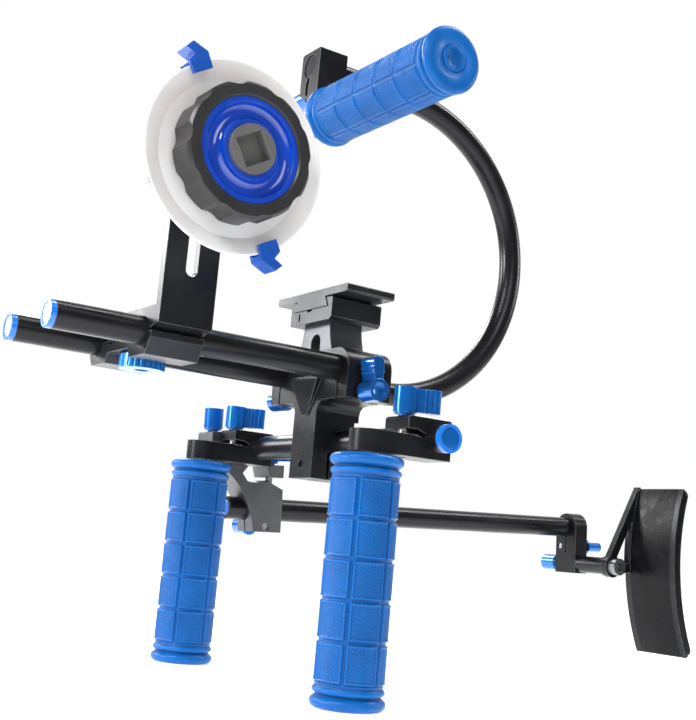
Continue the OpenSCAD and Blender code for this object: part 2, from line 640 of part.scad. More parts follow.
// External drive gear for the lens ring: module 0.8, straight teeth, lightened web.
module ff_drive_gear() color("#232427") rig() translate([pin_x, -ff_y - 18, ff_z]) {
  rotate([90, 0, 0]) difference() {
    union() {
      translate([0, 0, 2]) linear_extrude(9) difference() {
        gear2(drive_teeth, drive_mod);
        circle(r = 3.02, $fn = 48);
      }
      cylinder(r = 5.2, h = 3, $fn = 48);
      translate([0, 0, 10.5]) cylinder(r = 5.2, h = 1.9, $fn = 48);
    }
    translate([0, 0, -1]) cylinder(r = 3.02, h = 16, $fn = 48);
    translate([0, 0, 8.6]) difference() {
      cylinder(r = drive_teeth*drive_mod/2 - 3, h = 4, $fn = 72);
      cylinder(r = 5.2, h = 4, $fn = 48);
    }
    for (i = [0 : 5]) rotate([0, 0, i*60]) translate([9.1, 0, 0]) cylinder(r = 2.3, h = 14, $fn = 32);
  }
}

// Dished white disc the focus marks are written on.
module ff_marking_disc() color("#f0f0f0") rig() translate([disc_x, -ff_y, ff_z]) rotate([0, 90, 0])
  rotate_extrude($fn = 128) polygon([[4.04, 0], [40, 0], [disc_d/2 - 0.6, 5.2], [disc_d/2, 5.8],
    [disc_d/2 - 0.4, 6.6], [disc_d/2 - 1.4, 6.4], [39.6, 2], [24, 2], [24, wheel_x - disc_x],
    [4.04, wheel_x - disc_x]]);

// Scalloped hand wheel.
module ff_hand_wheel() color("#2f2f31") rig() translate([wheel_x, -ff_y, ff_z]) rotate([0, 90, 0])
  difference() {
    union() {
      rotate_extrude($fn = 128) polygon([[4.06, 0], [33, 0], [34, 1], [34, wheel_t - 1.6],
        [32.6, wheel_t], [27.2, wheel_t], [26.4, wheel_t - 1.2], [26.4, wheel_t - 5.6],
        [12.6, wheel_t - 5.6], [12.6, wheel_t - 6], [4.06, wheel_t - 6]]);
    }
    for (i = [0 : wheel_lobes - 1]) rotate([0, 0, (i + 0.5)*360/wheel_lobes])
      translate([41.2, 0, -1]) cylinder(r = 9.2, h = wheel_t + 2, $fn = 72);
  }

// Glossy blue ring set into the wheel's face.
module ff_inlay_ring() color("#0a3fc0") rig() translate([wheel_x + wheel_t - 5.58, -ff_y, ff_z])
  rotate([0, 90, 0]) difference() {
    cylinder(r = 26.3, h = 4.6, $fn = 128);
    translate([0, 0, 5.4]) rotate_extrude($fn = 128) translate([19.4, 0]) circle(r = 4.6, $fn = 64);
    translate([0, 0, -1]) cylinder(r = 12.5, h = 8, $fn = 96);
  }

// Grey boss with the square socket for a crank or whip.
module ff_socket_boss() color("#5a5a58") rig() translate([wheel_x + wheel_t - 5.98, -ff_y, ff_z])
  rotate([0, 90, 0]) difference() {
    cylinder(r = 12.4, h = 7.4, $fn = 96);
    translate([0, 0, 1.4]) rotate([0, 0, 30]) translate([-7.4, -7.4, 0]) cube([14.8, 14.8, 8]);
  }

// Hooked limit stop clipped on the disc rim. Drawn at the top of the disc.
module stop_solid() {
  r0 = disc_d/2;
  difference() {
    rotate([90, 0, 90]) translate([0, 0, -2]) linear_extrude(11)
      polygon([[-5.4, r0 - 5], [5.4, r0 - 5], [6.4, r0 + 3], [1, r0 + 10], [-4, r0 + 8.6],
        [-1, r0 + 4], [-5.4, r0 + 1.6]]);
    translate([-0.35, -20, r0 - 12]) cube([7.3, 40, 12.4]);
  }
}

module ff_stop_upper() color("#0b4aa8") rig() translate([disc_x, -ff_y, ff_z])
  rotate([32, 0, 0]) stop_solid();

module ff_stop_lower() color("#0b4aa8") rig() translate([disc_x, -ff_y, ff_z])
  rotate([208, 0, 0]) stop_solid();

// ---- C-arm with the top handle ----

module c_arm_tube() color("#1c1d20") rig() translate([c_x, 0, 0]) {
  translate([0, 0, rod_z]) rod_y(front_rod_b + 1, c_back, rr);
  translate([0, c_back, rod_z + c_r]) rotate([0, 90, 0]) rotate_extrude(angle = 180, $fn = 180)
    translate([c_r, 0]) circle(r = rr, $fn = 64);
  translate([0, 0, c_top]) rod_y(c_end, c_back, rr);
}

// Puts an arm on the C-arm's upper leg: bore along Y, reach down, grip towards +X.
module top() { rig() translate([c_x, c_end + 9.6, c_top]) rotate([90, 0, -90]) children(); }

module top_arm() color("#242528") top() arm_solid();
module top_arm_bolt() color("#8d9096") top() arm_bolt_solid();
module top_handle_core() color("#9a9da3") top() core_solid();
module top_grip() color("#2f78dc") top() grip_solid();
module top_arm_knob() color("#1557c8") top() translate([0, -14.2, 10.4])
  rotate([0, 0, 110]) wing_knob(18);

rod_block();
riser();
plate_clamp();
plate_jaw();
plate_lock_knob();
camera_plate();
plate_pads();
camera_screw();
block_knob_near();
block_knob_far();
stem_screw();
front_rod_near();
front_rod_far();
front_caps_near();
front_caps_far();
crossbar();
bar_caps();
arm_near();
arm_far();
arm_bolt_near();
arm_bolt_far();
handle_core_near();
handle_core_far();
grip_near();
grip_far();
arm_knob_near();
arm_knob_far();
offset_clamp();
offset_knob_front();
offset_knob_rear();
tail_rod_knob();
tail_rod();
pad_clamp();
pad_clamp_knob();
pivot_shaft();
pivot_knob();
pivot_bolt();
pad_bracket();
shoulder_pad();
ff_bracket();
ff_lower_jaw();
ff_thumb_knob();
ff_gearbox();
ff_cover();
ff_lock_screw();
ff_wheel_shaft();
ff_drive_shaft();
ff_drive_gear();
ff_marking_disc();
ff_hand_wheel();
ff_inlay_ring();
ff_socket_boss();
ff_stop_upper();
ff_stop_lower();
c_arm_tube();
top_arm();
top_arm_bolt();
top_handle_core();
top_grip();
top_arm_knob();
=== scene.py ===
"""Looks of a shoulder-mount cinema camera rig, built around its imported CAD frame.

Every sub-assembly of the rig is a class: the camera head, the rods, the side handles, the tail
with its shoulder pad, the geared follow focus and the C-arm with its top handle. Finishes are
small frozen dataclasses that know how to make their own node-based material.
"""

import json
import logging
import math
from dataclasses import dataclass, field
from enum import Enum
from typing import Callable

import bmesh
import bpy
from mathutils import Matrix, Vector

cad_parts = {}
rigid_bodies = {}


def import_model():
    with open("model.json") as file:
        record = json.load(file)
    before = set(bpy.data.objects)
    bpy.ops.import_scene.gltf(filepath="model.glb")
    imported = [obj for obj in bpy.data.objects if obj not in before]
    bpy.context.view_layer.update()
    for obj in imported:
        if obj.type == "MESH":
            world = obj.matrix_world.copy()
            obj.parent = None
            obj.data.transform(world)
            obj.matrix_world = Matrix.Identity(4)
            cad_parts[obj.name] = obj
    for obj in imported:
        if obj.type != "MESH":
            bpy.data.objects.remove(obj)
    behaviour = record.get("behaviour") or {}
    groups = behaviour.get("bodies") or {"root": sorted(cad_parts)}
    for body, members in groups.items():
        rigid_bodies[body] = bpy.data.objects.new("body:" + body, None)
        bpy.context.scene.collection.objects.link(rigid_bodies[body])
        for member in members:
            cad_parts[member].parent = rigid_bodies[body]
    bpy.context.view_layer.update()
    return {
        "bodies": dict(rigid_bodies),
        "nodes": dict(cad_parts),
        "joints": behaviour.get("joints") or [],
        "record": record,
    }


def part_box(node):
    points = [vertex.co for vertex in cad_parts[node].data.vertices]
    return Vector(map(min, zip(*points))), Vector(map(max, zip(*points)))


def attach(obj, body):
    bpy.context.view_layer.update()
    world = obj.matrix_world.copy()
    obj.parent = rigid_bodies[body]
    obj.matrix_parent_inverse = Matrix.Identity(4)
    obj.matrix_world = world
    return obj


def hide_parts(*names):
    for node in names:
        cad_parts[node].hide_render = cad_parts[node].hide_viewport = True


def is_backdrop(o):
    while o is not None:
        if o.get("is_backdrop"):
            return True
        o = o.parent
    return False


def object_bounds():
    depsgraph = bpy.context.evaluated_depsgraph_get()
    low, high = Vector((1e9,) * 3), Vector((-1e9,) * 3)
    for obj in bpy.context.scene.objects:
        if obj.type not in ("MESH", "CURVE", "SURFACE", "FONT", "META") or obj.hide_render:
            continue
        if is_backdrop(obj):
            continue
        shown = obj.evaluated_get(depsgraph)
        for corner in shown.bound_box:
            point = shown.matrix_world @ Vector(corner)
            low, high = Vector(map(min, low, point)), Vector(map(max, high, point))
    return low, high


Colour = tuple[float, float, float]
Profile = list[tuple[float, float]]
Placement = Callable[[float, float, float], Vector]

MM = 0.001
LOG = logging.getLogger("rig")


class Lay(Enum):
    """Which way a turned or drawn surface runs, so its fine lines follow it."""

    NONE = (1.0, 1.0, 1.0)
    ALONG_X = (0.04, 1.0, 1.0)
    ALONG_Y = (1.0, 0.04, 1.0)


class Axis(Enum):
    """Row axis that a turned piece stands along."""

    X = 0
    Y = 1
    Z = 2


# ---- node-based finishes ----


@dataclass
class Recipe:
    """A material's node tree with the few steps that all the finishes are made of."""

    name: str
    material: bpy.types.Material = field(init=False)
    shader: bpy.types.Node = field(init=False)
    coords: bpy.types.NodeSocket = field(init=False)

    def __post_init__(self) -> None:
        """Makes the material with one Principled shader and object coordinates in metres."""
        self.material = bpy.data.materials.new(self.name)
        self.material.use_nodes = True
        tree = self.material.node_tree
        tree.nodes.clear()
        output = tree.nodes.new("ShaderNodeOutputMaterial")
        self.shader = tree.nodes.new("ShaderNodeBsdfPrincipled")
        tree.links.new(self.shader.outputs["BSDF"], output.inputs["Surface"])
        self.coords = tree.nodes.new("ShaderNodeTexCoord").outputs["Object"]

    def add(self, kind: str) -> bpy.types.Node:
        """Returns a new node of that kind."""
        return self.material.node_tree.nodes.new(kind)

    def join(self, source: bpy.types.NodeSocket, target: bpy.types.NodeSocket) -> None:
        """Links one socket to another."""
        self.material.node_tree.links.new(source, target)

    def stretched(self, lay: Lay) -> bpy.types.NodeSocket:
        """Returns coordinates squeezed along the lay, so that noise becomes fine lines.

        Args:
            lay: The direction that the lines run in.

        Returns:
            The vector socket.
        """
        mapping = self.add("ShaderNodeMapping")
        mapping.inputs["Scale"].default_value = lay.value
        self.join(self.coords, mapping.inputs["Vector"])
        return mapping.outputs["Vector"]

    def noise(self, scale: float, detail: float = 3.0, lay: Lay = Lay.NONE) -> bpy.types.NodeSocket:
        """Returns a noise value from 0 to 1.

        Args:
            scale: Repeats per metre.
            detail: Octaves of finer noise.
            lay: The direction that the noise is drawn out in.

        Returns:
            The value socket.
        """
        node = self.add("ShaderNodeTexNoise")
        node.inputs["Scale"].default_value = scale
        node.inputs["Detail"].default_value = detail
        self.join(self.stretched(lay), node.inputs["Vector"])
        return node.outputs["Fac"]

    def spread(self, value: bpy.types.NodeSocket, lo: float, hi: float, a: float = 0.3,
               b: float = 0.7) -> bpy.types.NodeSocket:
        """Maps a value from the range a to b onto lo to hi.

        Args:
            value: The value socket to map.
            lo: Result at a.
            hi: Result at b.
            a: Value that gives lo.
            b: Value that gives hi.

        Returns:
            The mapped value socket.
        """
        node = self.add("ShaderNodeMapRange")
        for key, number in (("From Min", a), ("From Max", b), ("To Min", lo), ("To Max", hi)):
            node.inputs[key].default_value = number
        self.join(value, node.inputs["Value"])
        return node.outputs["Result"]

    def times(self, a: bpy.types.NodeSocket, b: bpy.types.NodeSocket) -> bpy.types.NodeSocket:
        """Returns the product of two values."""
        node = self.add("ShaderNodeMath")
        node.operation = "MULTIPLY"
        self.join(a, node.inputs[0])
        self.join(b, node.inputs[1])
        return node.outputs[0]

    def blend(self, share: bpy.types.NodeSocket, a: Colour | bpy.types.NodeSocket,
              b: Colour) -> bpy.types.NodeSocket:
        """Mixes two colours.

        Args:
            share: How much of b shows, from 0 to 1.
            a: The first colour, or the socket that gives it.
            b: The second colour.

        Returns:
            The mixed colour socket.
        """
        node = self.add("ShaderNodeMix")
        node.data_type = "RGBA"
        self.join(share, node.inputs[0])
        if isinstance(a, tuple):
            node.inputs[6].default_value = (*a, 1.0)
        else:
            self.join(a, node.inputs[6])
        node.inputs[7].default_value = (*b, 1.0)
        return node.outputs[2]

    def rounded(self, radius: float) -> bpy.types.NodeSocket:
        """Returns normals that round the sharp edges off by that radius in metres."""
        node = self.add("ShaderNodeBevel")
        node.samples = 5
        node.inputs["Radius"].default_value = radius
        return node.outputs["Normal"]

    def edges(self, normals: bpy.types.NodeSocket) -> bpy.types.NodeSocket:
        """Returns 1 on sharp edges and 0 on flat ground, from rounded normals."""
        geometry = self.add("ShaderNodeNewGeometry")
        dot = self.add("ShaderNodeVectorMath")
        dot.operation = "DOT_PRODUCT"
        self.join(normals, dot.inputs[0])
        self.join(geometry.outputs["Normal"], dot.inputs[1])
        return self.spread(dot.outputs["Value"], 1.0, 0.0, 0.80, 0.985)

    def bump(self, height: bpy.types.NodeSocket, depth: float,
             normals: bpy.types.NodeSocket | None = None) -> bpy.types.NodeSocket:
        """Returns normals with a height pressed into them.

        Args:
            height: Height from 0 to 1.
            depth: How far 1 stands above 0, in metres.
            normals: Normals to start from, or None for the surface's own.

        Returns:
            The normal socket.
        """
        node = self.add("ShaderNodeBump")
        node.inputs["Distance"].default_value = depth
        node.inputs["Strength"].default_value = 1.0
        self.join(height, node.inputs["Height"])
        if normals is not None:
            self.join(normals, node.inputs["Normal"])
        return node.outputs["Normal"]

    def constant(self, **values: float) -> None:
        """Sets plain numbers on the shader's own sockets, with _ for a space in a name."""
        for key, number in values.items():
            self.shader.inputs[key.replace("_", " ")].default_value = number


@dataclass(frozen=True)
class Anodised:
    """Blasted and anodised aluminium: fine grain, slight tint drift and bright silver edges, partly wear
    and partly a painted highlight.
    """

    name: str
    tint: Colour
    drift: Colour
    edge: Colour
    rough: float = 0.34
    metallic: float = 0.75
    coat: float = 0.0
    grain: float = 9000.0
    grain_depth: float = 0.00001
    edge_radius: float = 0.0005
    edge_show: float = 0.8
    lay: Lay = Lay.NONE

    def make(self) -> bpy.types.Material:
        """Returns the finish as a material."""
        r = Recipe(self.name)
        cloud = r.noise(45.0, 4.0, self.lay)
        colour = r.blend(r.spread(cloud, 0.0, 1.0), self.tint, self.drift)
        normals = r.rounded(self.edge_radius)
        # silver on the sharp edges: partly worn anodising, partly a painted highlight of the lit edges
        wear_and_edge_highlight = r.times(r.edges(normals),
                       r.spread(r.noise(260.0, 5.0), 0.25 * self.edge_show, self.edge_show))
        r.join(r.blend(wear_and_edge_highlight, colour, self.edge), r.shader.inputs["Base Color"])
        grain = r.noise(self.grain, 2.0, self.lay)
        smudge = r.spread(r.noise(28.0, 5.0), self.rough - 0.06, self.rough + 0.09)
        r.join(smudge, r.shader.inputs["Roughness"])
        r.join(r.bump(grain, self.grain_depth, normals), r.shader.inputs["Normal"])
        r.constant(Metallic=self.metallic, Coat_Weight=self.coat, Coat_Roughness=0.12)
        return r.material


@dataclass(frozen=True)
class Rubber:
    """Moulded rubber: dull, with a mottled bloom, painted shade in the grooves and a painted highlight on
    the crests.
    """

    name: str
    tint: Colour
    drift: Colour
    rough: float = 0.6
    grain: float = 5000.0
    grain_depth: float = 0.00004
    sheen: float = 0.15
    specular: float = 0.5

    def make(self) -> bpy.types.Material:
        """Returns the finish as a material."""
        r = Recipe(self.name)
        colour = r.blend(r.spread(r.noise(60.0, 5.0), 0.0, 1.0), self.tint, self.drift)
        # Pointiness paints light here: low in the grooves for painted shade, high on the crests for a
        # painted highlight.
        high = r.add("ShaderNodeNewGeometry").outputs["Pointiness"]
        paler = tuple(min(1.0, 1.3 * c + 0.012) for c in self.drift)
        # painted shade: the grooves darkened towards a third of the tint
        deep = r.blend(r.spread(high, 1.0, 0.0, 0.44, 0.497), colour, tuple(0.35 * c for c in self.tint))
        # painted highlight: the crests paled towards a lighter drift colour
        r.join(r.blend(r.spread(high, 0.0, 0.7, 0.51, 0.6), deep, paler), r.shader.inputs["Base Color"])
        r.join(r.spread(r.noise(150.0, 4.0), self.rough - 0.08, self.rough + 0.1),
               r.shader.inputs["Roughness"])
        r.join(r.bump(r.noise(self.grain, 3.0), self.grain_depth), r.shader.inputs["Normal"])
        r.constant(Metallic=0.0, Sheen_Weight=self.sheen, Sheen_Roughness=0.5,
                   Specular_IOR_Level=self.specular)
        return r.material


@dataclass(frozen=True)
class Moulded:
    """Moulded plastic: fine orange peel, soft edges paled in patches as a painted highlight, and a faint
    gloss drift.
    """

    name: str
    tint: Colour
    drift: Colour
    rough: float = 0.35
    coat: float = 0.0
    peel: float = 1400.0
    peel_depth: float = 0.00002
    edge_radius: float = 0.0006
    scatter: float = 0.0

    def make(self) -> bpy.types.Material:
        """Returns the finish as a material."""
        r = Recipe(self.name)
        colour = r.blend(r.spread(r.noise(35.0, 4.0), 0.0, 1.0), self.tint, self.drift)
        normals = r.rounded(self.edge_radius)
        # painted highlight: the rounded edges lifted paler in patches
        painted_edge_highlight = tuple(min(1.0, 1.25 * c + 0.04) for c in self.drift)
        r.join(r.blend(r.times(r.edges(normals), r.spread(r.noise(300.0), 0.2, 0.6)), colour, painted_edge_highlight),
               r.shader.inputs["Base Color"])
        r.join(r.spread(r.noise(40.0, 5.0), self.rough - 0.05, self.rough + 0.07),
               r.shader.inputs["Roughness"])
        r.join(r.bump(r.noise(self.peel, 2.0), self.peel_depth, normals), r.shader.inputs["Normal"])
        r.constant(Metallic=0.0, Coat_Weight=self.coat, Coat_Roughness=0.05,
                   Subsurface_Weight=self.scatter)
        return r.material


@dataclass(frozen=True)
class Steel:
    """Turned steel: bright, with circular tool marks and a little tarnish."""

    name: str
    tint: Colour
    drift: Colour
    rough: float = 0.25

    def make(self) -> bpy.types.Material:
        """Returns the finish as a material."""
        r = Recipe(self.name)
        colour = r.blend(r.spread(r.noise(180.0, 5.0), 0.0, 1.0), self.tint, self.drift)
        normals = r.rounded(0.0003)
        r.join(colour, r.shader.inputs["Base Color"])
        r.join(r.spread(r.noise(700.0, 4.0), self.rough - 0.07, self.rough + 0.1),
               r.shader.inputs["Roughness"])
        r.join(r.bump(r.noise(6000.0, 2.0, Lay.ALONG_X), 0.000006, normals), r.shader.inputs["Normal"])
        r.constant(Metallic=1.0, Anisotropic=0.3)
        return r.material


class Finishes:
    """Every finish on the rig, made once."""

    def __init__(self) -> None:
        """Makes the materials."""
        silver = (0.62, 0.63, 0.65)
        self.black = Anodised("black_anodised_blast", (0.011, 0.012, 0.014), (0.020, 0.021, 0.024),
                              silver, rough=0.30, metallic=0.55, edge_show=0.6).make()
        self.grey = Anodised("grey_anodised_blast", (0.020, 0.021, 0.025), (0.034, 0.036, 0.042), silver,
                             rough=0.34, metallic=0.6, edge_show=0.8).make()
        self.riser = Anodised("riser_grey_anodised", (0.085, 0.088, 0.098), (0.12, 0.124, 0.135), silver,
                              rough=0.38, metallic=0.75, edge_show=0.6).make()
        self.light = Anodised("clear_anodised", (0.10, 0.104, 0.112), (0.145, 0.15, 0.158), silver,
                              rough=0.42, metallic=0.7, edge_show=0.5).make()
        self.blue = Anodised("azure_anodised", (0.0, 0.13, 0.52), (0.003, 0.19, 0.68), (0.4, 0.75, 1.0),
                             rough=0.22, metallic=0.55, coat=0.6, edge_show=0.6).make()
        self.azure = Anodised("light_azure_anodised", (0.0, 0.17, 0.62), (0.01, 0.24, 0.76),
                              (0.35, 0.7, 1.0), rough=0.24, metallic=0.6, coat=0.4,
                              edge_show=0.6).make()
        self.tube_y = Anodised("tube_black_along_y", (0.010, 0.010, 0.012), (0.018, 0.018, 0.021), silver,
                               rough=0.27, metallic=0.5, grain=2600.0, grain_depth=0.000012,
                               edge_show=0.4, lay=Lay.ALONG_Y).make()
        self.tube_x = Anodised("tube_black_along_x", (0.010, 0.010, 0.012), (0.018, 0.018, 0.021), silver,
                               rough=0.27, metallic=0.5, grain=2600.0, grain_depth=0.000012,
                               edge_show=0.4, lay=Lay.ALONG_X).make()
        self.tube_bent = Anodised("tube_black_bent", (0.010, 0.010, 0.012), (0.018, 0.018, 0.021), silver,
                                  rough=0.25, metallic=0.5, edge_show=0.4).make()
        self.grip = Rubber("blue_grip_rubber", (0.0, 0.09, 0.35), (0.0, 0.125, 0.45), rough=0.33,
                           sheen=0.0, specular=0.25).make()
        self.pad = Rubber("black_pad_rubber", (0.003, 0.003, 0.004), (0.006, 0.006, 0.007), rough=0.3,
                          grain=2200.0, grain_depth=0.00004, sheen=0.0, specular=0.16).make()
        self.ribbed = Rubber("black_ribbed_rubber", (0.010, 0.010, 0.011), (0.02, 0.02, 0.021),
                             rough=0.7).make()
        self.cap_rim = Moulded("blue_cap_rim", (0.005, 0.15, 0.66), (0.01, 0.21, 0.80), rough=0.22,
                               coat=0.6).make()
        # front cap faces painted pale: a painted reflection of the bright room on the blue cap faces
        self.cap_face = Moulded("pale_cap_face_painted_reflection", (0.78, 0.82, 0.87), (0.88, 0.91, 0.94), rough=0.25,
                                coat=0.5).make()
        self.white = Moulded("white_writing_disc", (0.80, 0.81, 0.82), (0.87, 0.87, 0.88), rough=0.42,
                             scatter=0.08).make()
        self.wheel = Moulded("black_wheel_moulding", (0.017, 0.017, 0.018), (0.028, 0.028, 0.03),
                             rough=0.36, peel=3000.0).make()
        self.ring = Moulded("gloss_blue_inlay", (0.002, 0.045, 0.42), (0.004, 0.065, 0.52), rough=0.12,
                            coat=1.0, peel=600.0, peel_depth=0.000006).make()
        self.boss = Moulded("dark_grey_boss", (0.10, 0.10, 0.098), (0.14, 0.14, 0.137), rough=0.4).make()
        self.lever = Moulded("deep_blue_lever", (0.004, 0.07, 0.40), (0.006, 0.10, 0.50), rough=0.25,
                             coat=0.5).make()
        self.steel = Steel("bright_steel", (0.56, 0.57, 0.59), (0.66, 0.67, 0.69)).make()
        self.bolt = Steel("satin_bolt_steel", (0.20, 0.205, 0.215), (0.30, 0.305, 0.315), 0.38).make()
        self.dark_steel = Steel("black_oxide_steel", (0.05, 0.05, 0.055), (0.09, 0.09, 0.095),
                                0.35).make()


# ---- mesh making ----


@dataclass
class Maker:
    """Builds meshes and hands them over to the frame as finished pieces."""

    frame: dict

    def dress(self, node: str, material: bpy.types.Material) -> None:
        """Gives a carried-over CAD node its finish.

        Args:
            node: The CAD node's name.
            material: The finish for all of its faces.
        """
        piece = self.frame["nodes"][node]
        piece.data.materials.clear()
        piece.data.materials.append(material)
        for polygon in piece.data.polygons:
            polygon.material_index = 0
        LOG.info("dressed %s in %s", node, material.name)

    def knob(self, node: str, material: bpy.types.Material, stud: bpy.types.Material,
             reach: float = 2.6 * MM) -> None:
        """Dresses a knob, with its threaded stud in another finish.

        Args:
            node: The knob's CAD node.
            material: The finish of the knob.
            stud: The finish of the stud below it.
            reach: Faces this close to the stud's side count as the stud.
        """
        self.dress(node, material)
        piece = self.frame["nodes"][node]
        piece.data.materials.append(stud)
        joint = next(j for j in self.frame["joints"] if j["child"] == node)
        foot, axis = Vector(joint["pos_m"]), Vector(joint["axis"]).normalized()
        for polygon in piece.data.polygons:
            spots = [piece.matrix_world @ piece.data.vertices[i].co - foot for i in polygon.vertices]
            if all((p - axis * p.dot(axis)).length < reach and p.dot(axis) < 0.2 * MM for p in spots):
                polygon.material_index = 1

    def place(self, name: str, mesh: bmesh.types.BMesh, material: bpy.types.Material, body: str,
              slot: str, replaces: tuple[str, ...] = ()) -> bpy.types.Object:
        """Turns a bmesh into a piece that rides on a body.

        Args:
            name: The piece's name.
            mesh: Its shape in the row frame, which is freed.
            material: Its finish.
            body: The CAD body that it moves with.
            slot: The record's material slot for the piece; not used.
            replaces: CAD nodes that it stands for.

        Returns:
            The new object.
        """
        bmesh.ops.recalc_face_normals(mesh, faces=mesh.faces)
        data = bpy.data.meshes.new(name)
        mesh.to_mesh(data)
        mesh.free()
        data.materials.append(material)
        data.shade_smooth()
        piece = bpy.data.objects.new(name, data)
        bpy.context.scene.collection.objects.link(piece)
        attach(piece, body)
        if replaces:
            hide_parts(*replaces)
        LOG.info("built %s with %d faces on %s", name, len(data.polygons), body)
        return piece

    @staticmethod
    def skin(rows: list[list[Vector]], closed_ring: bool, capped: bool) -> bmesh.types.BMesh:
        """Covers a grid of points with quads.

        Args:
            rows: Rows of points, all of one length.
            closed_ring: True if each row closes on itself.
            capped: True to close the first and last rows with a face.

        Returns:
            The mesh.
        """
        mesh = bmesh.new()
        grid = [[mesh.verts.new(p) for p in row] for row in rows]
        width = len(rows[0])
        span = width if closed_ring else width - 1
        for lower, upper in zip(grid, grid[1:]):
            for i in range(span):
                k = (i + 1) % width
                mesh.faces.new((lower[i], lower[k], upper[k], upper[i]))
        if capped:
            mesh.faces.new(grid[0])
            mesh.faces.new(grid[-1])
        return mesh

    @classmethod
    def turned(cls, profile: Profile, put: Placement, segments: int = 96,
               closed: bool = True) -> bmesh.types.BMesh:
        """Turns a profile about an axis.

        Args:
            profile: Radius and height pairs in metres, from one end to the other.
            put: Places a point given across, across and along the axis.
            segments: Facets round the axis.
            closed: True if the first and last rings are capped.

        Returns:
            The mesh.
        """
        rows = []
        for radius, height in profile:
            rows.append([put(radius * math.cos(a), radius * math.sin(a), height)
                         for a in (2 * math.pi * i / segments for i in range(segments))])
        return cls.skin(rows, True, closed)


def along(axis: Axis, centre: Vector, sign: float = 1.0) -> Placement:
    """Returns a placement with its third coordinate along a row axis.

    Args:
        axis: The axis that heights run along.
        centre: Where height 0 is.
        sign: 1 or -1, the way that heights run.

    Returns:
        A function from three local coordinates to a row point.
    """
    def put(u: float, v: float, w: float) -> Vector:
        """Returns the row point for local coordinates."""
        spots = {Axis.X: (w * sign, u, v), Axis.Y: (u, w * sign, v), Axis.Z: (u, v, w * sign)}
        return centre + Vector(spots[axis])
    return put


def middle(node: str) -> Vector:
    """Returns the middle of a CAD node's box at rest."""
    lo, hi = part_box(node)
    return (Vector(lo) + Vector(hi)) / 2


def ease(value: float, lo: float, hi: float) -> float:
    """Returns 0 below lo, 1 above hi and a smooth step between."""
    t = min(1.0, max(0.0, (value - lo) / (hi - lo)))
    return t * t * (3 - 2 * t)


# ---- sub-assemblies ----


@dataclass
class CameraHead:
    """Rod block, riser, dovetail clamp, camera plate with its pads, and the camera screw."""

    maker: Maker
    finishes: Finishes
    thread_r: float = 3.175 * MM
    thread_pitch: float = 1.27 * MM
    shank_r: float = 3.35 * MM
    head_r: float = 6.2 * MM
    head_h: float = 3.4 * MM
    thread_h: float = 5.5 * MM

    def build(self) -> None:
        """Dresses the head and cuts the camera screw's thread."""
        f, dress = self.finishes, self.maker.dress
        dress("rod_block", f.black)
        dress("riser", f.riser)
        for node in ("plate_clamp", "plate_jaw", "camera_plate"):
            dress(node, f.grey)
        dress("plate_pads", f.ribbed)
        dress("stem_screw", f.dark_steel)
        for node in ("plate_lock_knob", "block_knob_near", "block_knob_far"):
            self.maker.knob(node, f.blue, f.steel)
        self.screw()

    def screw(self) -> None:
        """Makes the camera screw with a real helical thread."""
        lo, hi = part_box("camera_screw")
        base = Vector(((lo[0] + hi[0]) / 2, (lo[1] + hi[1]) / 2, lo[2]))
        top = hi[2] - lo[2]
        seat = top - self.thread_h
        put, segments, steps = along(Axis.Z, base), 60, 70
        rows: list[list[Vector]] = []
        for radius, height in ((0.0004, 0.0006), (4.9 * MM, 0.0006), (5.1 * MM, 0.0),
                               (self.head_r - 0.0004, 0.0), (self.head_r, 0.0004),
                               (self.head_r, self.head_h - 0.0003),
                               (self.head_r - 0.0003, self.head_h), (self.shank_r, self.head_h),
                               (self.shank_r, seat - 0.0002), (self.shank_r - 0.0002, seat)):
            rows.append([put(radius * math.cos(a), radius * math.sin(a), height)
                         for a in (2 * math.pi * i / segments for i in range(segments))])
        for step in range(steps + 1):
            height = seat + 0.00005 + (self.thread_h - 0.0002) * step / steps
            fade = ease(top - height, 0.0, 0.0009)
            row = []
            for i in range(segments):
                turn = i / segments
                phase = ((height - seat) / self.thread_pitch - turn) % 1.0
                crest = 1 - abs(2 * phase - 1)
                radius = self.thread_r - 0.0007 * (1 - crest) * fade - 0.0006 * (1 - fade)
                angle = 2 * math.pi * turn
                row.append(put(radius * math.cos(angle), radius * math.sin(angle), height))
            rows.append(row)
        mesh = self.maker.skin(rows, True, True)
        self.maker.place("camera_screw_threaded", mesh, self.finishes.steel, "camera_screw", "steel",
                         ("camera_screw",))


